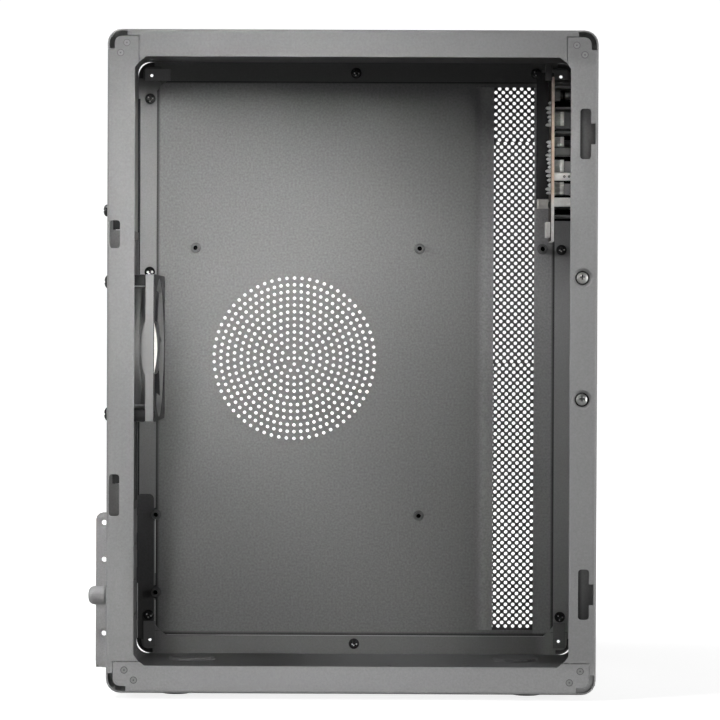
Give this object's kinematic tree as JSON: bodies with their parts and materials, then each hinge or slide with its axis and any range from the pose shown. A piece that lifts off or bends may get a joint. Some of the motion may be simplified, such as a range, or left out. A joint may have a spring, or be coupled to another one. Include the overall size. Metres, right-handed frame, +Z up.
{
  "type": "micro-atx computer case",
  "caption": "Open micro-ATX tower case of folded grey sheet metal: board tray with standoffs and vents, rear fan, card slot covers, front port board and feet; side panel off.",
  "frame": {"origin": "on the ground plane under the middle of the whole outline, feet on Z = 0", "axes": "+X from the rear wall to the front wall, +Y from the open side to the board tray, +Z up"},
  "size_m": [0.2736, 0.19, 0.3536],
  "materials": {
    "powder_coat": "satin grey powder coat with a very fine grain",
    "standoff_steel": "dull plated steel",
    "black_steel": "black oxide, slightly glossy",
    "fan_plastic": "black moulded plastic",
    "foot_rubber": "matt black rubber",
    "circuit_board": "tan fibre board",
    "frame_plastic": "grey moulded plastic",
    "port_plastic": "black moulded plastic",
    "port_metal": "plated port shell",
    "white_plastic": "white moulded plastic",
    "button_plastic": "dark grey moulded plastic"
  },
  "bodies": {
    "case": {"outer_shell": "powder_coat", "motherboard_tray": "powder_coat", "vent_strip": "powder_coat", "standoffs": "standoff_steel", "fan_frame": "fan_plastic", "slot_cover_1": "powder_coat", "slot_cover_2": "powder_coat", "slot_cover_3": "powder_coat", "slot_cover_4": "powder_coat", "slot_retainer": "powder_coat", "foot_1": "foot_rubber", "foot_2": "foot_rubber", "foot_3": "foot_rubber", "foot_4": "foot_rubber", "io_board": "circuit_board", "io_frame": "frame_plastic", "audio_jack": "port_plastic", "usb_c_port": "port_metal", "usb_port_upper": "port_metal", "usb_port_lower": "port_metal", "power_switch": "port_plastic", "cable_connector": "white_plastic", "port_plate": "standoff_steel", "fan_gasket": "foot_rubber"},
    "fan_rotor": {"fan_rotor": "fan_plastic"},
    "power_button": {"power_button": "button_plastic"},
    "retainer_thumbscrew": {"retainer_thumbscrew": "black_steel"}
  },
  "joints": [
    {"name": "fan_spin", "type": "hinge", "parent": "case", "child": "fan_rotor", "pos_m": [-0.1205, -0.019, 0.185], "axis": [1, 0, 0], "continuous": true},
    {"name": "button_press", "type": "slide", "parent": "case", "child": "power_button", "axis": [-1, 0, 0], "range_m": [0, 0.001], "stiffness_N_per_m": 1500},
    {"name": "thumbscrew_turn", "type": "hinge", "parent": "case", "child": "retainer_thumbscrew", "pos_m": [-0.1228, -0.045, 0.05026], "axis": [1, 0, 0], "continuous": true}
  ]
}
